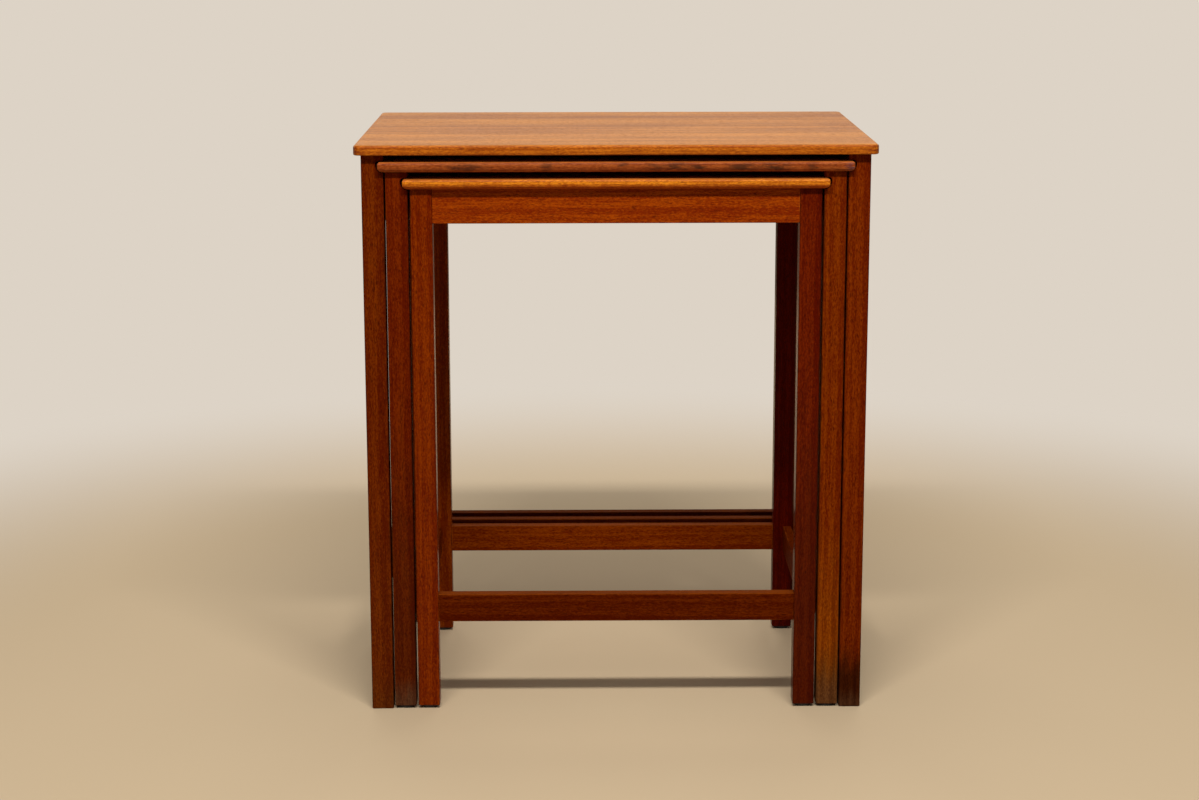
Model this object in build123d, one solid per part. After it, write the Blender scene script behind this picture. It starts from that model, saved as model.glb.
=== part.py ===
from build123d import *
import os
from dataclasses import dataclass

# A nest of three wooden tables. The middle table's top slides in grooves along the insides of the large
# table, and the small table's top slides in the middle table in the same way. All sizes are in millimetres,
# +Z is up, the front faces -Y, and the origin is on the floor under the middle of the large top.

# Overall sizes
large_top_width = 520.0
large_top_depth = 368.0
large_height = 585.0

# Tops
top_thickness = 10.0
top_drop = 17.0                # from one table's top surface down to the next one's
large_side_overhang = 7.0      # large top past its legs, left and right
nested_side_overhang = 7.0     # middle and small tops past their legs, left and right
end_overhang = 8.0             # every top past its legs, front and rear
lipping_width = 8.0
large_upper_radius = 2.5       # edge of the large top, above and below
large_lower_radius = 1.5
large_corner_radius = 7.0      # in plan
nested_upper_radius = 2.5      # edge of the middle and small tops, above and below
nested_lower_radius = 6.0
nested_corner_radius = 1.5     # in plan

# Legs
leg_side = 22.0
leg_edge_radius = 1.2
foot_chamfer = 1.0
pad_diameter = 18.0
pad_thickness = 3.0
pad_chamfer = 0.5

# Running clearances
outer_leg_gap = 1.7            # between the legs of the large and middle tables
inner_leg_gap = 2.3            # between the legs of the middle and small tables
groove_side_gap = 2.5          # beside the edge of a top in its groove
groove_height_gap = 1.0        # above and below a top in its groove
rear_stop_gap = 0.3            # from a nested top, pushed home, to the rear legs of the table around it

# Aprons and stretchers
small_apron_height = 35.0
apron_thickness = 18.0
apron_setback = 2.0            # behind the outer faces of the legs, front and rear
stretcher_bottom = 93.0
stretcher_height = 29.0
stretcher_thickness = 13.0     # front and rear ones
stretcher_setback = 3.0        # behind the outer faces of the legs, front and rear
side_stretcher_thickness = 9.0
side_stretcher_setback = 1.5   # behind the outer faces of the legs, left and right
rail_edge_radius = 1.0

# Dowels
apron_dowel_diameter = 6.0
stretcher_dowel_diameter = 5.0
rail_dowel_length = 26.0
dowels_per_joint = 2
dowel_stagger_gap = 1.0        # between dowels that cross inside a leg
top_dowel_diameter = 6.0
top_dowel_length = 12.0
top_dowel_in_panel = 5.0
dowel_chamfer = 0.5
dowel_clearance = 0.1          # round each dowel
dowel_end_gap = 0.5            # past each end of a dowel

# Places that the three tables share
front = -large_top_depth / 2 + end_overhang
large_rear = large_top_depth / 2 - end_overhang
depth_step = leg_side + end_overhang + rear_stop_gap
groove_upper_radius = nested_upper_radius + groove_height_gap
groove_lower_radius = nested_lower_radius + groove_height_gap
apron_bottom = large_height - 2 * top_drop - top_thickness - small_apron_height


@dataclass
class Table:
    name: str
    outer: float               # x of the outer faces of its right legs
    rear: float                # y of the rear faces of its rear legs
    surface: float             # z of its top surface
    side_overhang: float
    foot: float                # z of the bottom of the wood
    has_front_rails: bool
    guest: "Table" = None      # the next smaller table, which slides in it

    @property
    def is_nested(self):
        return self.foot > 0

    @property
    def inner(self):
        return self.outer - leg_side

    @property
    def underside(self):
        return self.surface - top_thickness

    @property
    def half_width(self):
        return self.outer + self.side_overhang

    @property
    def groove_floor(self):
        return self.guest.half_width + groove_side_gap


def make_tables():
    large_outer = large_top_width / 2 - large_side_overhang
    middle_outer = large_outer - leg_side - outer_leg_gap
    small_outer = middle_outer - leg_side - inner_leg_gap
    small = Table("small", small_outer, large_rear - 2 * depth_step,
                  large_height - 2 * top_drop, nested_side_overhang, pad_thickness, True)
    middle = Table("middle", middle_outer, large_rear - depth_step,
                   large_height - top_drop, nested_side_overhang, pad_thickness, False, small)
    large = Table("large", large_outer, large_rear, large_height, large_side_overhang, 0.0, False, middle)
    return [large, middle, small]


def block(x, y, z):
    """Box between the two limits given for each axis."""
    centre = [(low + high) / 2 for low, high in (x, y, z)]
    return Pos(*centre) * Box(x[1] - x[0], y[1] - y[0], z[1] - z[0])


def mirrored(side, low, high):
    """X limits of a piece on the right, or of its twin on the left."""
    return (low, high) if side > 0 else (-high, -low)


def along(axis, point, radius, length):
    """Cylinder centred on a point, lying along one axis."""
    turn = {"X": Rot(0, 90, 0), "Y": Rot(90, 0, 0), "Z": Rot(0, 0, 0)}[axis]
    return Pos(*point) * turn * Cylinder(radius, length)


def dowel_heights(bottom, height, diameter):
    """Heights centred in a rail. Dowels along Y and along X take turns, so that they cross clear."""
    stagger = diameter + dowel_stagger_gap
    steps = 2 * dowels_per_joint - 1
    lowest = bottom + (height - steps * stagger) / 2
    return [lowest + step * stagger for step in range(steps + 1)]


def rail_dowel_places(table):
    """Axis, centre, diameter and length of each dowel between a rail and a leg, centred on their joint."""
    places = []
    apron_x = table.inner + apron_thickness / 2
    stretcher_x = table.outer - side_stretcher_setback - side_stretcher_thickness / 2
    apron_inset = apron_setback + apron_thickness / 2
    stretcher_inset = stretcher_setback + stretcher_thickness / 2
    rails = [(dowel_heights(apron_bottom, small_apron_height, apron_dowel_diameter),
              apron_x, apron_inset, apron_dowel_diameter),
             (dowel_heights(stretcher_bottom, stretcher_height, stretcher_dowel_diameter),
              stretcher_x, stretcher_inset, stretcher_dowel_diameter)]
    for heights, x, inset, diameter in rails:
        side_ends = [front + leg_side, table.rear - leg_side]
        cross_rails = [table.rear - inset] + [front + inset] * table.has_front_rails
        for side in (-1, 1):
            ends = [("Y", side * x, y, z) for y in side_ends for z in heights[0::2]]
            ends += [("X", side * table.inner, y, z) for y in cross_rails for z in heights[1::2]]
            places += [(axis, (px, py, pz), diameter, rail_dowel_length) for axis, px, py, pz in ends]
    return places


def top_dowel_places(table):
    """Axis, centre, diameter and length of each upright dowel between an apron and the panel."""
    apron_inner = table.groove_floor if table.guest else table.inner
    side_x = (apron_inner + table.inner + apron_thickness) / 2
    quarter = (table.rear - front) / 4
    inset = apron_setback + apron_thickness / 2
    points = [(side * side_x, y) for side in (-1, 1) for y in (front + quarter, table.rear - quarter)]
    cross_rails = [table.rear - inset] + [front + inset] * table.has_front_rails
    points += [(side * table.inner / 2, y) for side in (-1, 1) for y in cross_rails]
    z = table.underside + top_dowel_in_panel - top_dowel_length / 2
    return [("Z", (x, y, z), top_dowel_diameter, top_dowel_length) for x, y in points]


def dowels(places):
    pins = []
    for axis, point, diameter, length in places:
        pin = along(axis, point, diameter / 2, length)
        pins.append(chamfer(pin.edges().filter_by(GeomType.CIRCLE), dowel_chamfer))
    return Compound(children=pins)


def dowel_holes(places):
    return [along(axis, point, diameter / 2 + dowel_clearance, length + 2 * dowel_end_gap)
            for axis, point, diameter, length in places]


def rounded_slab(width, depth):
    """Board whose edge follows the rounded corners of its plan, as on the large top."""
    slab = extrude(RectangleRounded(width, depth, large_corner_radius), amount=top_thickness)
    slab = fillet(slab.faces().sort_by(Axis.Z)[-1].edges(), large_upper_radius)
    return fillet(slab.faces().sort_by(Axis.Z)[0].edges(), large_lower_radius)


def moulded_bar(width, length):
    """Bar along Y with the edge section of a nested top down both sides."""
    section = Pos(0, top_thickness / 2) * Rectangle(width, top_thickness)
    section = fillet(section.vertices().group_by(Axis.Y)[-1], nested_upper_radius)
    section = fillet(section.vertices().group_by(Axis.Y)[0], nested_lower_radius)
    return extrude(Plane.XZ * section, amount=length / 2, both=True)


def mitred_slab(width, depth):
    """Board whose edge mouldings meet in creases at its corners, as on the nested tops."""
    plan = extrude(RectangleRounded(width, depth, nested_corner_radius), amount=top_thickness)
    return plan & moulded_bar(width, depth) & (Rot(0, 0, 90) * moulded_bar(depth, width))


def make_top(table, holes):
    """The panel and its four mitred lippings, cut from one board with a shaped edge."""
    low_y = front - end_overhang
    high_y = table.rear + end_overhang
    middle_y = (low_y + high_y) / 2
    half_depth = (high_y - low_y) / 2
    level = (table.underside, table.surface)
    slab = mitred_slab if table.is_nested else rounded_slab
    board = Pos(0, middle_y, table.underside) * slab(2 * table.half_width, 2 * half_depth)

    inside = (table.half_width - lipping_width, half_depth - lipping_width)
    outside = (table.half_width + lipping_width, half_depth + lipping_width)
    panel_zone = block((-inside[0], inside[0]), (middle_y - inside[1], middle_y + inside[1]), level)
    pieces = {"top_panel": (board & panel_zone) - holes}

    corners = [(-1, -1), (1, -1), (1, 1), (-1, 1)]
    for index, edge in enumerate(("front", "right", "rear", "left")):
        start = corners[index]
        end = corners[(index + 1) % 4]
        outline = [(sx * half[0], middle_y + sy * half[1])
                   for (sx, sy), half in ((start, outside), (end, outside), (end, inside), (start, inside))]
        zone = extrude(Pos(0, 0, table.underside) * Polygon(*outline, align=None), amount=top_thickness)
        pieces[f"top_{edge}_lipping"] = board & zone
    return pieces


def make_groove(table, side):
    """Channel along the front leg and side apron, back to the rear leg, shaped to the guest's edge."""
    mouth = (table.inner + table.guest.outer) / 2
    rear_end = table.rear - leg_side
    section = Rectangle(table.groove_floor - mouth, top_thickness + 2 * groove_height_gap)
    section = fillet(section.vertices().group_by(Axis.X)[-1].sort_by(Axis.Y)[-1], groove_upper_radius)
    section = fillet(section.vertices().group_by(Axis.X)[-1].sort_by(Axis.Y)[0], groove_lower_radius)
    channel = extrude(Plane.XZ * section, amount=rear_end - front + end_overhang)
    middle_z = table.guest.underside + top_thickness / 2
    channel = Pos((mouth + table.groove_floor) / 2, rear_end, middle_z) * channel
    return channel if side > 0 else mirror(channel, Plane.YZ)


def make_legs(table, holes):
    legs = {}
    for side, hand in ((-1, "left"), (1, "right")):
        x = mirrored(side, table.inner, table.outer)
        for end, y in (("front", (front, front + leg_side)), ("rear", (table.rear - leg_side, table.rear))):
            leg = block(x, y, (table.foot, table.underside))
            leg = fillet(leg.edges().filter_by(Axis.Z), leg_edge_radius)
            leg = chamfer(leg.faces().sort_by(Axis.Z)[0].edges(), foot_chamfer)
            if table.guest and end == "front":
                leg -= make_groove(table, side)
            legs[f"{end}_{hand}_leg"] = leg - holes
    return legs


def make_aprons(table, holes):
    """Rails under the top. Their lower edges are softened, and the side ones carry the groove on."""
    level = (apron_bottom, table.underside)
    aprons = {}
    for side, hand in ((-1, "left"), (1, "right")):
        x = mirrored(side, table.inner, table.inner + apron_thickness)
        apron = block(x, (front + leg_side, table.rear - leg_side), level)
        apron = fillet(apron.edges().filter_by(Axis.Y).group_by(Axis.Z)[0], rail_edge_radius)
        if table.guest:
            apron -= make_groove(table, side)
        aprons[f"{hand}_apron"] = apron - holes
    ends = {"rear": (table.rear - apron_setback - apron_thickness, table.rear - apron_setback)}
    if table.has_front_rails:
        ends["front"] = (front + apron_setback, front + apron_setback + apron_thickness)
    for end, y in ends.items():
        apron = block((-table.inner, table.inner), y, level)
        apron = fillet(apron.edges().filter_by(Axis.X).group_by(Axis.Z)[0], rail_edge_radius)
        aprons[f"{end}_apron"] = apron - holes
    return aprons


def make_stretchers(table, holes):
    """Low rails between the legs, with all four long edges softened."""
    level = (stretcher_bottom, stretcher_bottom + stretcher_height)
    near = stretcher_setback
    far = stretcher_setback + stretcher_thickness
    side_outer = table.outer - side_stretcher_setback
    stretchers = {}
    for side, hand in ((-1, "left"), (1, "right")):
        x = mirrored(side, side_outer - side_stretcher_thickness, side_outer)
        rail = block(x, (front + leg_side, table.rear - leg_side), level)
        stretchers[f"{hand}_stretcher"] = fillet(rail.edges().filter_by(Axis.Y), rail_edge_radius) - holes
    ends = {"rear": (table.rear - far, table.rear - near)}
    if table.has_front_rails:
        ends["front"] = (front + near, front + far)
    for end, y in ends.items():
        rail = block((-table.inner, table.inner), y, level)
        stretchers[f"{end}_stretcher"] = fillet(rail.edges().filter_by(Axis.X), rail_edge_radius) - holes
    return stretchers


def make_pads(table):
    """Round pads under the four legs."""
    middle_x = table.outer - leg_side / 2
    pads = []
    for x in (-middle_x, middle_x):
        for y in (front + leg_side / 2, table.rear - leg_side / 2):
            pad = along("Z", (x, y, pad_thickness / 2), pad_diameter / 2, pad_thickness)
            pads.append(chamfer(pad.edges().group_by(Axis.Z)[0], pad_chamfer))
    return Compound(children=pads)


def make_table(table):
    rail_places = rail_dowel_places(table)
    top_places = top_dowel_places(table)
    rail_holes = dowel_holes(rail_places)
    top_holes = dowel_holes(top_places)
    pieces = make_top(table, top_holes)
    pieces.update(make_legs(table, rail_holes))
    pieces.update(make_aprons(table, rail_holes + top_holes))
    pieces.update(make_stretchers(table, rail_holes))
    pieces["rail_dowels"] = dowels(rail_places)
    pieces["top_dowels"] = dowels(top_places)
    if table.is_nested:
        pieces["foot_pads"] = make_pads(table)
    return pieces


os.makedirs("parts", exist_ok=True)
for one_table in make_tables():
    for piece_name, piece in make_table(one_table).items():
        export_step(piece, f"parts/{one_table.name}_{piece_name}.step")
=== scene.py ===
"""Looks of a nest of three oiled teak tables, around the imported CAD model.

Every wooden piece is cut from its own place in one procedural log: growth rings round a pith line, fibres
along the grain and open pores. The grain runs along the piece, as it does in the real one, and each piece has
its own colour. Lengths are in metres, and the scale of a noise is the number of its features in a metre on
each axis.
"""
import math

import bpy
from mathutils import Euler, Matrix, Vector


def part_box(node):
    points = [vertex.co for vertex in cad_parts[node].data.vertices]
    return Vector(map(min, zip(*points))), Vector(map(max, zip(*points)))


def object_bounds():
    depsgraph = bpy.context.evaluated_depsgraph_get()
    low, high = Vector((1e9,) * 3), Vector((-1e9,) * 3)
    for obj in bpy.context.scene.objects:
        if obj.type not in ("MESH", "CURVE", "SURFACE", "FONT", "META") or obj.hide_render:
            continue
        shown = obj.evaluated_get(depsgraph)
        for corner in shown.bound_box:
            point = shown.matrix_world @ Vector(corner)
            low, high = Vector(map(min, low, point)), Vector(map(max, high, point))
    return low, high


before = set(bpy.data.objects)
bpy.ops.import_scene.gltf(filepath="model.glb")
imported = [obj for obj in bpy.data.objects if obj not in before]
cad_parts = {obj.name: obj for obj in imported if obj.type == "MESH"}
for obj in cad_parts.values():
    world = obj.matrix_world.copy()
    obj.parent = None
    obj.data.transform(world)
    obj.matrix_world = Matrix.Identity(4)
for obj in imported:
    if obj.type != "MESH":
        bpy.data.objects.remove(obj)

CAD_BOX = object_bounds()
NODE_NUMBERS = {node: number for number, node in enumerate(sorted(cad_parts))}
QUARTER_TURN = math.radians(90.0)

# The camera, found from the edges of the legs, tops and rails in the photograph
PHOTO_WIDTH_PIXELS = 1199
FOCAL_LENGTH_PIXELS = 2401.9
SENSOR_WIDTH_MM = 36.0
CAMERA_PLACE = Vector((-0.0385, -2.5513, 0.8279))
CAMERA_YAW = math.radians(0.52)
CAMERA_PITCH = math.radians(11.916)
CAMERA_ROLL = math.radians(-0.091)

# The studio, where the size of a light is its width and height
FLOOR_REACH = 12.0
FLOOR_FADE_START = 0.65
FLOOR_FADE_END = 1.5
FLOOR_ROUGHNESS = 0.8
FLOOR_GLOSS = 0.2
KEY_LIGHT_PLACE = Vector((0.05, -1.70, 2.45))
KEY_LIGHT_AIM = Vector((0.0, 0.0, 0.35))
KEY_LIGHT_SIZE = (1.8, 0.18)
KEY_LIGHT_POWER = 78.0
BACK_LIGHT_PLACE = Vector((0.0, 2.2, 1.1))
BACK_LIGHT_AIM = KEY_LIGHT_AIM
BACK_LIGHT_SIZE = (2.6, 1.4)
BACK_LIGHT_POWER = 26.0
TOP_LIGHT_PLACE = Vector((0.0, 0.6, 2.6))
TOP_LIGHT_AIM = Vector((0.0, 0.0, 0.0))
TOP_LIGHT_SIZE = (2.0, 2.0)
TOP_LIGHT_POWER = 9.0
FILL_STRENGTH = 0.14

# Growth rings, and the share of each pattern in the tone of the wood
RING_WIDTH = 0.0044
PANEL_RING_WIDTH = 0.0085
LIPPING_RING_WIDTH = 0.0016
RINGS_IN_A_BAND = 6.0
RING_WANDER = 0.012
RING_SHARE = 0.15
BAND_SHARE = 0.20
PANEL_BAND_SHARE = 0.46
MOTTLE_SHARE = 0.65
CLOUD_SHARE = 0.5

# Scales of the noises in the log, along the grain and twice across it
SWAY_SCALE = (1.7, 11.0, 11.0)
CLOUD_SCALE = (5.0, 42.0, 42.0)
FIBRE_SCALE = (26.0, 430.0, 430.0)
MOTTLE_SCALE = (330.0, 900.0, 900.0)
FLECK_SCALE = (75.0, 800.0, 800.0)
PORE_SCALE = (190.0, 1700.0, 1700.0)

# Where a noise starts to show as tone, flecks or pores, and where it shows in full
TONE_RANGE = (0.41, 0.59)
FLECK_RANGE = (0.50, 0.68)
PORE_RANGE = (0.61, 0.73)

# Where the pieces lie in the log, with slants round the pith in degrees
PITH_DISTANCE = 0.16
LOG_STEP = 0.83
PANEL_SLANT = 6.0
LEAST_SLANT = 32.0
SLANT_SPREAD = 26.0
GOLDEN_SHARE = 0.618034

# The surface of the wood
FLECK_SHARE = 0.55
PORE_SHARE = 0.60
VENEER_DEPTH = 0.0008
ROUGHNESS = 0.30
SMOOTH_LEG_ROUGHNESS = 0.12
DRY_LEG_ROUGHNESS = 0.50
FIBRE_ROUGHNESS = 0.22
PORE_ROUGHNESS = 0.2
TOP_GLOSS = 0.33
FRONT_EDGE_GLOSS = 0.10
FRAME_GLOSS = 0.03
DRY_LEG_GLOSS = 0.01
STRETCHER_GLOSS = 0.002
FIBRE_HEIGHT = 0.4
WOOD_BUMP_STRENGTH = 0.25
WOOD_BUMP_DISTANCE = 0.0003

# Edge marks: worn edges show bare wood on most pieces, and the edges of the legs are darkened as painted
# shade
WEAR_AND_SHADE_WIDTH = 0.0018
WEAR_AND_SHADE_SCALE = (55.0, 55.0, 55.0)
WEAR_AND_SHADE_RANGE = (0.42, 0.66)
WEAR_SHARE = 0.30
LEG_EDGE_SHADE_SHARE = 0.75

# The rubber of the foot pads
GRIT_SCALE = (900.0, 900.0, 900.0)
GRIT_RANGE = (0.3, 0.7)
PAD_LEAST_ROUGHNESS = 0.6
PAD_MOST_ROUGHNESS = 0.85
PAD_BUMP_STRENGTH = 0.3
PAD_BUMP_DISTANCE = 0.0002
DUST_SCALE = (140.0, 140.0, 140.0)
DUST_RANGE = (0.5, 0.75)
DUST_SHARE = 0.5


def shade(red, green, blue):
    """A screen colour, 0 to 255 a channel, as the linear values that a shader takes, by the sRGB curve."""
    def linear(channel):
        value = channel / 255
        if value <= 0.04045:
            return value / 12.92
        return ((value + 0.055) / 1.055) ** 2.4
    return (linear(red), linear(green), linear(blue), 1.0)


def deeper(colour, shares):
    """A colour with each of its channels multiplied by its share."""
    return tuple(channel * share for channel, share in zip(colour, shares)) + (1.0,)


FLOOR_COLOUR = shade(196, 178, 150)
BACKDROP_COLOUR = shade(221, 211, 198)
FILL_COLOUR = shade(255, 246, 234)
LIGHT_COLOUR = shade(255, 248, 238)
# Stain on the lower legs, and painted shade along the edges of the legs
STAIN_AND_SHADE_COLOUR = shade(44, 19, 4)
BLEACHED_COLOUR = shade(92, 60, 22)
GOLDEN_COLOUR = shade(158, 84, 8)
DUSTY_COLOUR = shade(98, 70, 48)
SMUDGE_COLOUR = shade(52, 27, 17)
INK_COLOUR = shade(66, 52, 74)
CORNER_COLOUR = shade(112, 42, 12)
# Painted shade for the lower, downward-rounded part of the front edges of the small and large tops
SMALL_EDGE_SHADE_COLOUR = shade(168, 56, 2)
LARGE_EDGE_SHADE_COLOUR = shade(168, 86, 6)
BARE_WOOD_COLOUR = shade(186, 96, 24)
# Painted light on the upper faces of rails
PAINTED_TOP_LIGHT_COLOUR = shade(118, 53, 9)
PAD_COLOUR = shade(20, 19, 18)
PAD_DUST_COLOUR = shade(62, 58, 52)
BEECH_COLOUR = shade(214, 176, 128)

# The dark grain as a share of the light grain in red, green and blue: on the frame it is redder as well as
# darker. Pores are a share of the dark grain.
FRAME_GRAIN_SHARES = (0.50, 0.26, 0.25)
LIPPING_GRAIN_SHARES = (0.48, 0.30, 0.22)
PANEL_GRAIN_SHARES = (0.44, 0.33, 0.26)
MARK_GRAIN_SHARES = (0.48, 0.44, 0.42)
PORE_COLOUR_SHARES = (0.4, 0.35, 0.3)

# Colour of the light grain of each piece, by the end of its name, then for pieces that differ from their kind
KIND_TONES = {
    "leg": shade(108, 42, 1),
    "apron": shade(158, 68, 2),
    "stretcher": shade(99, 37, 1),
    "top_panel": shade(205, 133, 46),
}
LIPPING_TONES = {
    "large": shade(207, 133, 30),
    "middle": shade(171, 90, 37),
    "small": shade(209, 118, 21),
}
PIECE_TONES = {
    "large_top_front_lipping": shade(204, 118, 26),
    "small_top_front_lipping": shade(231, 143, 28),
    "large_front_left_leg": shade(114, 46, 1),
    "large_front_right_leg": shade(126, 50, 1),
    "middle_front_left_leg": shade(117, 42, 1),
    "middle_front_right_leg": shade(129, 54, 1),
    "small_front_left_leg": shade(133, 52, 0),
    "small_front_right_leg": shade(109, 33, 1),
    # Painted light and shade: the small table's rear left leg is lighter and its rear right leg darker, for
    # how the light from the front reaches them.
    "small_rear_left_leg": shade(130, 57, 1),
    "small_rear_right_leg": shade(83, 15, 0),
    "small_rear_stretcher": shade(126, 54, 1),
    # Painted shade: the middle table's rear rail is darker, for the shade under the tops over its front face.
    "middle_rear_stretcher": shade(68, 22, 1),
    "middle_top_panel": shade(188, 105, 43),
    "small_top_panel": shade(193, 111, 43),
}

# Marks on the lower part of a piece: where each ends above the piece's lower end, over what height it fades,
# its strength and its colour
LOW_MARK_SCALE = (160.0, 160.0, 26.0)
LOW_MARKS = {
    # On these two front edges the low mark is painted shade: the lower, downward-rounded part is darker and
    # redder.
    "large_top_front_lipping": ((0.0080, 0.0060, 0.45, LARGE_EDGE_SHADE_COLOUR),),
    "small_top_front_lipping": ((0.0065, 0.0050, 0.78, SMALL_EDGE_SHADE_COLOUR),),
    "large_front_right_leg": (
        (0.300, 0.280, 0.14, STAIN_AND_SHADE_COLOUR),
        (0.072, 0.040, 0.85, STAIN_AND_SHADE_COLOUR),
        (0.022, 0.020, 0.35, DUSTY_COLOUR),
    ),
    "middle_front_right_leg": (
        (0.237, 0.190, 0.46, GOLDEN_COLOUR),
        (0.072, 0.050, 0.66, BLEACHED_COLOUR),
        (0.045, 0.040, 0.45, DUSTY_COLOUR),
    ),
    "middle_front_left_leg": (
        (0.417, 0.330, 0.40, STAIN_AND_SHADE_COLOUR),
        (0.317, 0.300, 0.10, BLEACHED_COLOUR),
        (0.033, 0.032, 0.60, DUSTY_COLOUR),
    ),
    "large_front_left_leg": (
        (0.320, 0.300, 0.14, BLEACHED_COLOUR),
        (0.050, 0.045, 0.25, BLEACHED_COLOUR),
    ),
    "small_front_right_leg": ((0.417, 0.330, 0.45, STAIN_AND_SHADE_COLOUR),),
}

# Rails whose upper face is lightened as painted light from above, and how deep that face is taken to be
LIT_TOP_RAILS = (
    "small_front_stretcher",
    "small_rear_stretcher",
    "middle_rear_stretcher",
    "large_rear_stretcher",
)
LIT_TOP_DEPTH = 0.0012

# Smudges on the front edges: the place along X, the reach to each side, the strength and the colour of each.
# The ends of the large top are the ends of the whole nest.
SMUDGE_DEPTH = 0.020
SMUDGE_HEIGHT = 0.0060
SMUDGE_CORE = 0.25
SMUDGE_SCALE = (70.0, 200.0, 330.0)
SMUDGE_NOISE_TURN = (0.0, math.radians(35.0), 0.0)
SMUDGE_RANGE = (0.36, 0.58)
LEFT_CORNER = (CAD_BOX[0].x, 0.018, 0.95, CORNER_COLOUR)
RIGHT_CORNER = (CAD_BOX[1].x, 0.018, 0.95, CORNER_COLOUR)
SMUDGES = {
    "large_top_front_lipping": (LEFT_CORNER, RIGHT_CORNER),
    "large_top_left_lipping": (LEFT_CORNER,),
    "large_top_right_lipping": (RIGHT_CORNER,),
    "middle_top_front_lipping": (
        (-0.150, 0.030, 0.65, SMUDGE_COLOUR),
        (-0.069, 0.010, 0.65, SMUDGE_COLOUR),
        (0.007, 0.008, 0.75, SMUDGE_COLOUR),
        (0.037, 0.012, 0.60, SMUDGE_COLOUR),
        (0.060, 0.022, 0.80, SMUDGE_COLOUR),
        (0.082, 0.010, 0.82, SMUDGE_COLOUR),
        (0.125, 0.022, 0.82, SMUDGE_COLOUR),
        (0.158, 0.024, 0.82, SMUDGE_COLOUR),
        (0.195, 0.008, 0.70, SMUDGE_COLOUR),
        (0.232, 0.008, 0.70, INK_COLOUR),
    ),
}


class Wiring:
    """Adds nodes to one tree. The value of an input is a socket to link from, or a plain value to set."""

    def __init__(self, tree):
        self.tree = tree

    def feed(self, socket, value):
        if isinstance(value, bpy.types.NodeSocket):
            self.tree.links.new(value, socket)
        else:
            socket.default_value = value

    def add(self, kind, inputs=None, **settings):
        """A new node with its settings, and with its inputs by name or number."""
        node = self.tree.nodes.new(kind)
        for name, value in settings.items():
            setattr(node, name, value)
        for name, value in (inputs or {}).items():
            self.feed(node.inputs[name], value)
        return node

    def position(self):
        """The place on the surface, in the frame that all pieces share."""
        return self.add("ShaderNodeTexCoord").outputs["Object"]

    def maths(self, operation, first, second):
        return self.add("ShaderNodeMath", {0: first, 1: second}, operation=operation).outputs[0]

    def vector(self, operation, first, second=(0.0, 0.0, 0.0)):
        node = self.add("ShaderNodeVectorMath", {0: first, 1: second}, operation=operation)
        return node.outputs["Value" if operation == "LENGTH" else "Vector"]

    def parts(self, vector):
        """The X, Y and Z of a vector."""
        return self.add("ShaderNodeSeparateXYZ", {0: vector}).outputs

    def combine(self, x, y, z):
        return self.add("ShaderNodeCombineXYZ", {0: x, 1: y, 2: z}).outputs[0]

    def between(self, share, first, second):
        """The value that lies share of the way from first to second."""
        return self.add("ShaderNodeMix", {0: share, 2: first, 3: second}, data_type="FLOAT").outputs[0]

    def blend(self, share, first, second):
        """The colour that lies share of the way from first to second."""
        return self.add("ShaderNodeMix", {0: share, 6: first, 7: second}, data_type="RGBA").outputs[2]

    def tint(self, colour, other, mask, share):
        """A colour turned towards another one by a share of a mask."""
        return self.blend(self.maths("MULTIPLY", mask, share), colour, other)

    def spread(self, value, low, high, to_low=0.0, to_high=1.0):
        """A smooth step: to_low at and below low, to_high at and above high."""
        inputs = {"Value": value, "From Min": low, "From Max": high, "To Min": to_low, "To Max": to_high}
        return self.add("ShaderNodeMapRange", inputs, interpolation_type="SMOOTHSTEP").outputs[0]

    def noise(self, place, scale, detail=2.0, roughness=0.5, turn=(0.0, 0.0, 0.0), colour=False):
        """Soft noise, about 0.5 on average, with a scale on each axis and its grid turned after that."""
        mapping = self.add("ShaderNodeMapping", {"Vector": place, "Scale": scale, "Rotation": turn})
        inputs = {"Vector": mapping.outputs[0], "Scale": 1.0, "Detail": detail, "Roughness": roughness}
        node = self.add("ShaderNodeTexNoise", inputs, noise_dimensions="3D")
        return node.outputs[1] if colour else node.outputs[0]

    def line_noise(self, distance, detail=2.0, roughness=0.5):
        """Soft noise over one distance, for bands of uneven width."""
        inputs = {"W": distance, "Scale": 1.0, "Detail": detail, "Roughness": roughness}
        return self.add("ShaderNodeTexNoise", inputs, noise_dimensions="1D").outputs[0]

    def bump(self, height, strength, distance):
        """The normal of a surface with fine relief by a height."""
        inputs = {"Height": height, "Strength": strength, "Distance": distance}
        return self.add("ShaderNodeBump", inputs).outputs[0]

    def mix_shaders(self, share, first, second):
        inputs = {0: share, 1: first.outputs[0], 2: second.outputs[0]}
        return self.add("ShaderNodeMixShader", inputs).outputs[0]

    def effect(self, group, **values):
        """One use of a shared effect, with its inputs by name (an underscore stands for a space)."""
        inputs = {name.replace("_", " ").title(): value for name, value in values.items()}
        return self.add("ShaderNodeGroup", inputs, node_tree=group).outputs


FLOAT = "NodeSocketFloat"
VECTOR = "NodeSocketVector"


def new_effect(name, inputs, outputs):
    """An empty shader node group with named sockets: the group, its wiring, its inputs and its end node."""
    group = bpy.data.node_groups.new(name, "ShaderNodeTree")
    for socket_name, kind in inputs.items():
        group.interface.new_socket(name=socket_name, in_out="INPUT", socket_type=kind)
    for socket_name, kind in outputs.items():
        group.interface.new_socket(name=socket_name, in_out="OUTPUT", socket_type=kind)
    wire = Wiring(group)
    given = wire.add("NodeGroupInput").outputs
    end = wire.add("NodeGroupOutput")
    return group, wire, given, end


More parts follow.
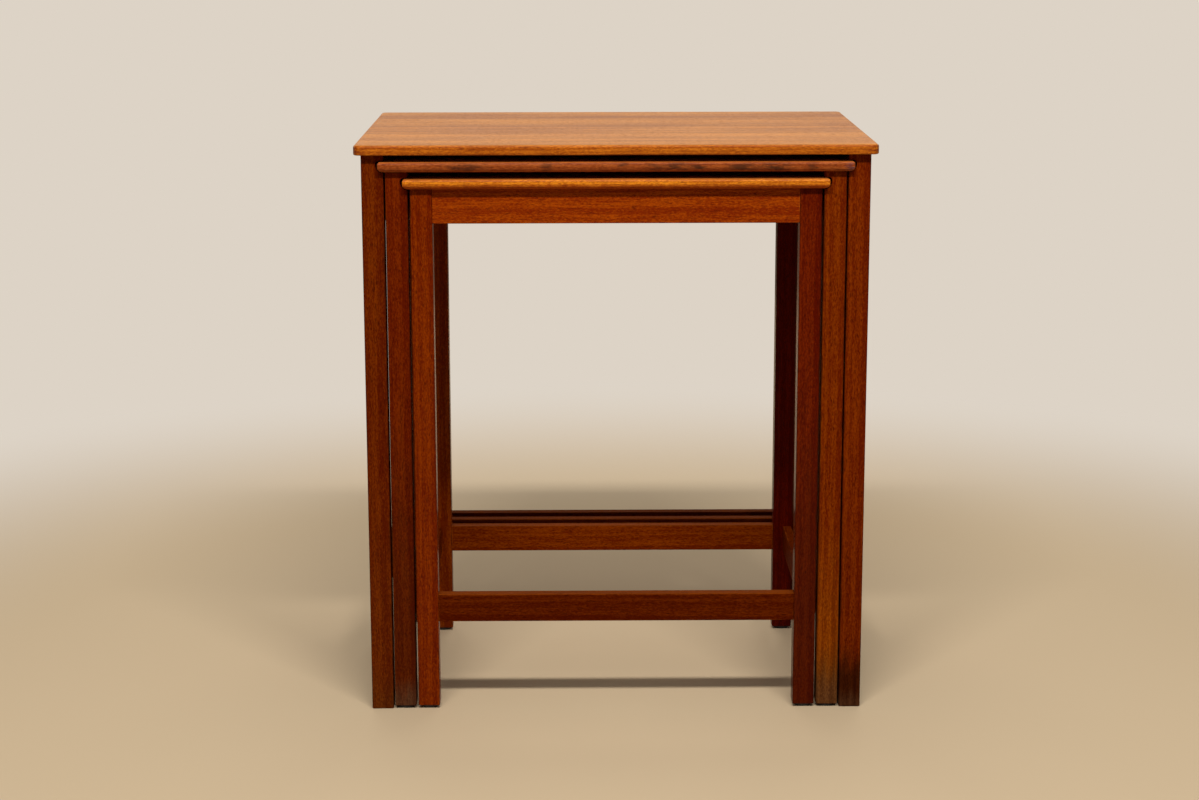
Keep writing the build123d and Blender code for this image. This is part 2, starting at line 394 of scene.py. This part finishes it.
def make_log_grain():
    """Wood of one log, whose grain runs along X and whose pith is the X axis.

    Slow noise bends the log first, so that the rings wander. Growth rings are noise over the distance from
    the pith, counted in ring widths, and bands are the same over several rings. Fibres are noise drawn out
    along the grain, mottle is shorter patches and clouds are far larger ones. Tone is fibres and mottle,
    mixed with bands and clouds by Band Share and then with rings by Ring Share. Pores are short dashes along
    the grain, and Flecks are longer, softer ones.
    """
    inputs = {
        "Position": VECTOR,
        "Ring Width": FLOAT,
        "Ring Share": FLOAT,
        "Band Share": FLOAT,
        "Wander": FLOAT,
    }
    outputs = {"Tone": FLOAT, "Fibres": FLOAT, "Pores": FLOAT, "Flecks": FLOAT}
    group, wire, given, end = new_effect("log grain", inputs, outputs)
    sway = wire.noise(given["Position"], SWAY_SCALE, colour=True)
    evened_sway = wire.vector("SUBTRACT", sway, (0.5, 0.5, 0.5))
    reach = wire.combine(0.0, given["Wander"], given["Wander"])
    bent = wire.vector("ADD", given["Position"], wire.vector("MULTIPLY", evened_sway, reach))
    from_pith = wire.vector("LENGTH", wire.vector("MULTIPLY", bent, (0.0, 1.0, 1.0)))
    ring_count = wire.maths("DIVIDE", from_pith, given["Ring Width"])
    rings = wire.line_noise(ring_count, roughness=0.55)
    bands = wire.line_noise(wire.maths("DIVIDE", ring_count, RINGS_IN_A_BAND), detail=1.0)
    clouds = wire.noise(bent, CLOUD_SCALE)
    fibres = wire.noise(bent, FIBRE_SCALE, detail=4.0, roughness=0.65)
    mottle = wire.noise(bent, MOTTLE_SCALE, detail=3.0, roughness=0.7)
    pores = wire.noise(bent, PORE_SCALE, detail=0.0)
    flecks = wire.noise(bent, FLECK_SCALE, roughness=0.6)
    streaks = wire.between(MOTTLE_SHARE, fibres, mottle)
    broad = wire.between(CLOUD_SHARE, bands, clouds)
    unringed = wire.between(given["Band Share"], streaks, broad)
    ringed = wire.between(given["Ring Share"], unringed, rings)
    wire.feed(end.inputs["Tone"], wire.spread(ringed, *TONE_RANGE))
    wire.feed(end.inputs["Fibres"], fibres)
    wire.feed(end.inputs["Pores"], wire.spread(pores, *PORE_RANGE))
    wire.feed(end.inputs["Flecks"], wire.spread(flecks, *FLECK_RANGE))
    return group


def make_edge_wear_and_shade():
    """Mask along the edges of a box-shaped piece, for worn bare wood and for painted shade on the legs.

    On each axis, the distance to the face is the half size less the distance from the middle. On the surface
    the smallest of the three is about nothing, so the middle one is the distance to the nearest edge. The
    mask fades out with that distance, and noise breaks it up.
    """
    inputs = {"Position": VECTOR, "Middle": VECTOR, "Half Size": VECTOR, "Width": FLOAT}
    group, wire, given, end = new_effect("edge wear and shade", inputs, {"Wear And Shade": FLOAT})
    offset = wire.vector("ABSOLUTE", wire.vector("SUBTRACT", given["Position"], given["Middle"]))
    x, y, z = wire.parts(wire.vector("SUBTRACT", given["Half Size"], offset))
    smaller = wire.maths("MINIMUM", x, y)
    larger = wire.maths("MAXIMUM", x, y)
    from_edge = wire.maths("MAXIMUM", smaller, wire.maths("MINIMUM", larger, z))
    near = wire.spread(from_edge, 0.0, given["Width"], to_low=1.0, to_high=0.0)
    broken = wire.noise(given["Position"], WEAR_AND_SHADE_SCALE, detail=4.0, roughness=0.65)
    wire.feed(end.inputs["Wear And Shade"], wire.maths("MULTIPLY", near, wire.spread(broken, *WEAR_AND_SHADE_RANGE)))
    return group


def make_low_mark():
    """A mark that fades out upwards: full up to Softness below Height, and gone from Height on.

    Noise moves this fade up and down by as much as half of Softness.
    """
    inputs = {"Position": VECTOR, "Height": FLOAT, "Softness": FLOAT}
    group, wire, given, end = new_effect("low mark", inputs, {"Mark": FLOAT})
    uneven = wire.noise(given["Position"], LOW_MARK_SCALE, detail=3.0, roughness=0.6)
    sway = wire.maths("MULTIPLY", wire.maths("SUBTRACT", uneven, 0.5), given["Softness"])
    level = wire.maths("ADD", wire.parts(given["Position"])[2], sway)
    full_level = wire.maths("SUBTRACT", given["Height"], given["Softness"])
    mark = wire.spread(level, full_level, given["Height"], to_low=1.0, to_high=0.0)
    wire.feed(end.inputs["Mark"], mark)
    return group


def make_smudge():
    """A soft stain round Middle, gone at Reach on each axis and broken up by noise that is longest along X.

    The distance from the middle is the length of the offset, divided by Reach on each axis. The stain is full
    where that is SMUDGE_CORE or less, and gone where it is 1.
    """
    inputs = {"Position": VECTOR, "Middle": VECTOR, "Reach": VECTOR}
    group, wire, given, end = new_effect("smudge", inputs, {"Mark": FLOAT})
    offset = wire.vector("SUBTRACT", given["Position"], given["Middle"])
    away = wire.vector("LENGTH", wire.vector("DIVIDE", offset, given["Reach"]))
    near = wire.spread(away, SMUDGE_CORE, 1.0, to_low=1.0, to_high=0.0)
    broken = wire.noise(given["Position"], SMUDGE_SCALE, detail=3.0, roughness=0.6, turn=SMUDGE_NOISE_TURN)
    wire.feed(end.inputs["Mark"], wire.maths("MULTIPLY", near, wire.spread(broken, *SMUDGE_RANGE)))
    return group


log_grain = make_log_grain()
edge_wear_and_shade = make_edge_wear_and_shade()
low_mark = make_low_mark()
smudge = make_smudge()


def table_of(node):
    """The table that a piece belongs to: large, middle or small."""
    return node.split("_")[0]


def grain_turn(node):
    """The turn that brings a piece's grain to the X axis: legs are upright, side pieces run front to back."""
    if node.endswith("leg") or node.endswith("top_dowels"):
        return Euler((0.0, QUARTER_TURN, 0.0))
    if "_left_" in node or "_right_" in node:
        return Euler((0.0, 0.0, -QUARTER_TURN))
    return Euler((0.0, 0.0, 0.0))


def tone_of(node):
    """The colour of a piece's light grain. The dowels are beech."""
    if node in PIECE_TONES:
        return PIECE_TONES[node]
    if node.endswith("lipping"):
        return LIPPING_TONES[table_of(node)]
    for kind, tone in KIND_TONES.items():
        if node.endswith(kind):
            return tone
    return BEECH_COLOUR


def dark_grain_of(node):
    """The colour of a piece's dark grain."""
    if node.endswith("top_panel"):
        return deeper(tone_of(node), PANEL_GRAIN_SHARES)
    if node.endswith("lipping"):
        return deeper(tone_of(node), LIPPING_GRAIN_SHARES)
    return deeper(tone_of(node), FRAME_GRAIN_SHARES)


def ring_width_of(node):
    """The mean width of a growth ring: the panels are sawn flat, so theirs look wider."""
    if node.endswith("top_panel"):
        return PANEL_RING_WIDTH
    return LIPPING_RING_WIDTH if node.endswith("lipping") else RING_WIDTH


def gloss_of(node):
    """How strongly a piece's oil finish shines: more on the tops, which are handled, than below them."""
    if node.endswith("front_lipping"):
        return FRONT_EDGE_GLOSS
    if node.endswith("stretcher"):
        return STRETCHER_GLOSS
    if node.endswith("leg") and table_of(node) != "small":
        return DRY_LEG_GLOSS
    return TOP_GLOSS if "_top_" in node else FRAME_GLOSS


def roughness_of(node):
    """The least roughness of a piece: the small table, used most, has smooth legs, and other legs are dry."""
    if node.endswith("leg"):
        return SMOOTH_LEG_ROUGHNESS if table_of(node) == "small" else DRY_LEG_ROUGHNESS
    return ROUGHNESS


def cleared(owner):
    """The wiring of a material or a world, with its nodes cleared."""
    owner.use_nodes = True
    owner.node_tree.nodes.clear()
    return Wiring(owner.node_tree)


def new_material(name):
    """A material without nodes, and its wiring."""
    material = bpy.data.materials.new(name + "_finish")
    return material, cleared(material)


def log_place(wire, node, position):
    """Position in the log from which a piece is cut.

    The piece's middle lies PITH_DISTANCE from the pith. A top panel lies edge-on to it, for straight bands,
    and other pieces lie aslant, so that two neighbouring faces both show lengthwise streaks. Each piece lies
    one LOG_STEP further along the log.
    """
    low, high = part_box(node)
    turn = grain_turn(node)
    number = NODE_NUMBERS[node]
    own_share = (number * GOLDEN_SHARE) % 1.0
    slant = PANEL_SLANT if node.endswith("top_panel") else LEAST_SLANT + SLANT_SPREAD * own_share
    angle = math.radians(slant)
    cut = Vector((number * LOG_STEP, PITH_DISTANCE * math.cos(angle), PITH_DISTANCE * math.sin(angle)))
    middle = (low + high) / 2
    middle.rotate(turn)
    inputs = {"Vector": position, "Rotation": turn, "Location": cut - middle}
    return wire.add("ShaderNodeMapping", inputs).outputs[0]


def edge_box(node):
    """The lowest and highest corner of the box whose edges are marked: a whole top for the pieces of a top.
    """
    pieces = [node]
    if node.endswith("lipping") or node.endswith("top_panel"):
        top = table_of(node) + "_top_"
        pieces = [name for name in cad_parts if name.startswith(top) and not name.endswith("dowels")]
    boxes = [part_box(piece) for piece in pieces]
    low = Vector([min(box[0][axis] for box in boxes) for axis in range(3)])
    high = Vector([max(box[1][axis] for box in boxes) for axis in range(3)])
    return low, high


def upper_face(wire, node, position, depth):
    """A mask of a piece's upper face: nothing at depth below it, and full from a quarter of that upwards."""
    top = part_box(node)[1].z
    return wire.spread(wire.parts(position)[2], top - depth, top - depth / 4)


def grained(wire, grain, colour):
    """A colour with the grain of the wood below it showing through."""
    return wire.blend(grain["Tone"], deeper(colour, MARK_GRAIN_SHARES), colour)


def add_wood(wire, node, position):
    """The bare wood of one piece: its grain, and the colour made of the grain's tone, flecks and pores."""
    dark = dark_grain_of(node)
    grain = wire.effect(
        log_grain,
        position=log_place(wire, node, position),
        ring_width=ring_width_of(node),
        ring_share=RING_SHARE,
        band_share=PANEL_BAND_SHARE if node.endswith("top_panel") else BAND_SHARE,
        wander=RING_WANDER,
    )
    colour = wire.blend(grain["Tone"], dark, tone_of(node))
    colour = wire.tint(colour, dark, grain["Flecks"], FLECK_SHARE)
    colour = wire.tint(colour, deeper(dark, PORE_COLOUR_SHARES), grain["Pores"], PORE_SHARE)
    return grain, colour


def add_edge_wear_and_shade(wire, node, position, colour):
    """A piece's colour with marked edges: painted shade along the edges of the legs, worn bare wood on the
    others.
    """
    low, high = edge_box(node)
    edges = wire.effect(
        edge_wear_and_shade,
        position=position,
        middle=(low + high) / 2,
        half_size=(high - low) / 2,
        width=WEAR_AND_SHADE_WIDTH,
    )
    # Painted shade: every edge of a leg is darkened.
    if node.endswith("leg"):
        return wire.tint(colour, STAIN_AND_SHADE_COLOUR, edges["Wear And Shade"], LEG_EDGE_SHADE_SHARE)
    return wire.tint(colour, BARE_WOOD_COLOUR, edges["Wear And Shade"], WEAR_SHARE)


def add_marks(wire, node, position, grain, colour):
    """A piece's colour with its low marks, through which the grain shows, and then its smudges."""
    low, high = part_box(node)
    for height, softness, share, mark_colour in LOW_MARKS.get(node, ()):
        mark = wire.effect(low_mark, position=position, height=low.z + height, softness=softness)
        colour = wire.tint(colour, grained(wire, grain, mark_colour), mark["Mark"], share)
    for place, reach, share, smudge_colour in SMUDGES.get(node, ()):
        spot = wire.effect(
            smudge,
            position=position,
            middle=(place, low.y, (low.z + high.z) / 2),
            reach=(reach, SMUDGE_DEPTH, SMUDGE_HEIGHT),
        )
        colour = wire.tint(colour, smudge_colour, spot["Mark"], share)
    return colour


def make_teak(node):
    """The oil finish of one wooden piece, in layers over its grain.

    The veneer of a top's panel runs on over the upper faces of its lippings. Worn edges, painted shade along
    the edges of the legs, painted light on the upper faces of rails, low marks and smudges lie over that. The
    low marks of the large and small tops' front edges are painted shade on their lower part. Fibres and pores
    add to the roughness. In the relief, fibres stand up and pores lie deep.
    """
    material, wire = new_material(node)
    position = wire.position()
    grain, colour = add_wood(wire, node, position)
    if node.endswith("lipping"):
        veneer_colour = add_wood(wire, table_of(node) + "_top_panel", position)[1]
        colour = wire.blend(upper_face(wire, node, position, VENEER_DEPTH), colour, veneer_colour)
    colour = add_edge_wear_and_shade(wire, node, position, colour)
    # Painted light: the upper face of these rails is lightened, as if lit from above.
    if node in LIT_TOP_RAILS:
        painted_top_light = grained(wire, grain, PAINTED_TOP_LIGHT_COLOUR)
        colour = wire.blend(upper_face(wire, node, position, LIT_TOP_DEPTH), colour, painted_top_light)
    colour = add_marks(wire, node, position, grain, colour)
    fibre_roughness = wire.maths("MULTIPLY", grain["Fibres"], FIBRE_ROUGHNESS)
    pore_roughness = wire.maths("MULTIPLY", grain["Pores"], PORE_ROUGHNESS)
    poreless_roughness = wire.maths("ADD", fibre_roughness, roughness_of(node))
    fibre_height = wire.maths("MULTIPLY", grain["Fibres"], FIBRE_HEIGHT)
    relief = wire.maths("SUBTRACT", fibre_height, grain["Pores"])
    shader = wire.add("ShaderNodeBsdfPrincipled", {
        "Base Color": colour,
        "Roughness": wire.maths("ADD", poreless_roughness, pore_roughness),
        "Specular IOR Level": gloss_of(node),
        "Normal": wire.bump(relief, WOOD_BUMP_STRENGTH, WOOD_BUMP_DISTANCE),
    })
    wire.add("ShaderNodeOutputMaterial", {"Surface": shader.outputs[0]})
    return material


def make_rubber(node):
    """Black rubber of the foot pads, gritty, and dusty in patches."""
    material, wire = new_material(node)
    position = wire.position()
    grit = wire.noise(position, GRIT_SCALE, detail=3.0, roughness=0.6)
    dust = wire.noise(position, DUST_SCALE, detail=3.0, roughness=0.6)
    shader = wire.add("ShaderNodeBsdfPrincipled", {
        "Base Color": wire.tint(PAD_COLOUR, PAD_DUST_COLOUR, wire.spread(dust, *DUST_RANGE), DUST_SHARE),
        "Roughness": wire.spread(grit, *GRIT_RANGE, PAD_LEAST_ROUGHNESS, PAD_MOST_ROUGHNESS),
        "Normal": wire.bump(grit, PAD_BUMP_STRENGTH, PAD_BUMP_DISTANCE),
    })
    wire.add("ShaderNodeOutputMaterial", {"Surface": shader.outputs[0]})
    return material


def finish_pieces():
    """Gives every CAD node its own finish."""
    for node, piece in sorted(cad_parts.items()):
        finish = make_rubber(node) if node.endswith("pads") else make_teak(node)
        piece.data.materials.clear()
        piece.data.materials.append(finish)


def make_floor():
    """A plain pale floor that runs out into the backdrop's colour with distance from the tables."""
    mesh = bpy.data.meshes.new("floor")
    reach = FLOOR_REACH
    corners = [(-reach, -reach, 0.0), (reach, -reach, 0.0), (reach, reach, 0.0), (-reach, reach, 0.0)]
    mesh.from_pydata(corners, [], [(0, 1, 2, 3)])
    floor = bpy.data.objects.new("floor", mesh)
    bpy.context.scene.collection.objects.link(floor)
    material, wire = new_material("floor")
    shader = wire.add("ShaderNodeBsdfPrincipled", {
        "Base Color": FLOOR_COLOUR,
        "Roughness": FLOOR_ROUGHNESS,
        "Specular IOR Level": FLOOR_GLOSS,
    })
    backdrop = wire.add("ShaderNodeEmission", {"Color": BACKDROP_COLOUR})
    far = wire.spread(wire.vector("LENGTH", wire.position()), FLOOR_FADE_START, FLOOR_FADE_END)
    path = wire.add("ShaderNodeLightPath").outputs
    faded = wire.maths("MULTIPLY", far, path["Is Camera Ray"])
    wire.add("ShaderNodeOutputMaterial", {"Surface": wire.mix_shaders(faded, shader, backdrop)})
    mesh.materials.append(material)


def make_world():
    """A soft even fill, and the pale backdrop for camera, glossy and transmission rays."""
    world = bpy.data.worlds.new("studio")
    bpy.context.scene.world = world
    wire = cleared(world)
    fill = wire.add("ShaderNodeBackground", {"Color": FILL_COLOUR, "Strength": FILL_STRENGTH})
    backdrop = wire.add("ShaderNodeBackground", {"Color": BACKDROP_COLOUR})
    path = wire.add("ShaderNodeLightPath").outputs
    seen = wire.maths("MAXIMUM", path["Is Camera Ray"], path["Is Glossy Ray"])
    seen = wire.maths("MAXIMUM", seen, path["Is Transmission Ray"])
    wire.add("ShaderNodeOutputWorld", {"Surface": wire.mix_shaders(seen, fill, backdrop)})


def add_light(name, place, aim, size, power, in_gloss=True):
    """A rectangular soft light at place, turned to aim. Without in_gloss, it shows in no reflection."""
    lamp = bpy.data.lights.new(name, "AREA")
    lamp.shape = "RECTANGLE"
    lamp.size, lamp.size_y = size
    lamp.energy = power
    lamp.color = LIGHT_COLOUR[:3]
    light = bpy.data.objects.new(name, lamp)
    light.location = place
    light.visible_glossy = in_gloss
    light.rotation_euler = (aim - place).to_track_quat("-Z", "Y").to_euler()
    bpy.context.scene.collection.objects.link(light)


def make_lights():
    """A long key light above the front, a broad light behind and a weak one overhead."""
    add_light("key_light", KEY_LIGHT_PLACE, KEY_LIGHT_AIM, KEY_LIGHT_SIZE, KEY_LIGHT_POWER)
    add_light(
        "back_light",
        BACK_LIGHT_PLACE,
        BACK_LIGHT_AIM,
        BACK_LIGHT_SIZE,
        BACK_LIGHT_POWER,
        in_gloss=False,
    )
    add_light("top_light", TOP_LIGHT_PLACE, TOP_LIGHT_AIM, TOP_LIGHT_SIZE, TOP_LIGHT_POWER)


def make_camera():
    """The photograph's camera: turned by yaw from looking along +Y, then pitched down, then rolled."""
    lens = bpy.data.cameras.new("photo_camera")
    lens.sensor_fit = "HORIZONTAL"
    lens.sensor_width = SENSOR_WIDTH_MM
    lens.lens = FOCAL_LENGTH_PIXELS / PHOTO_WIDTH_PIXELS * SENSOR_WIDTH_MM
    camera = bpy.data.objects.new("photo_camera", lens)
    turn = Matrix.Rotation(-CAMERA_YAW, 4, "Z")
    tilt = Matrix.Rotation(QUARTER_TURN - CAMERA_PITCH, 4, "X")
    roll = Matrix.Rotation(CAMERA_ROLL, 4, "Z")
    camera.matrix_world = Matrix.Translation(CAMERA_PLACE) @ turn @ tilt @ roll
    bpy.context.scene.collection.objects.link(camera)
    bpy.context.scene.camera = camera


finish_pieces()
make_floor()
make_world()
make_lights()
make_camera()
bpy.context.scene.view_settings.view_transform = "Standard"
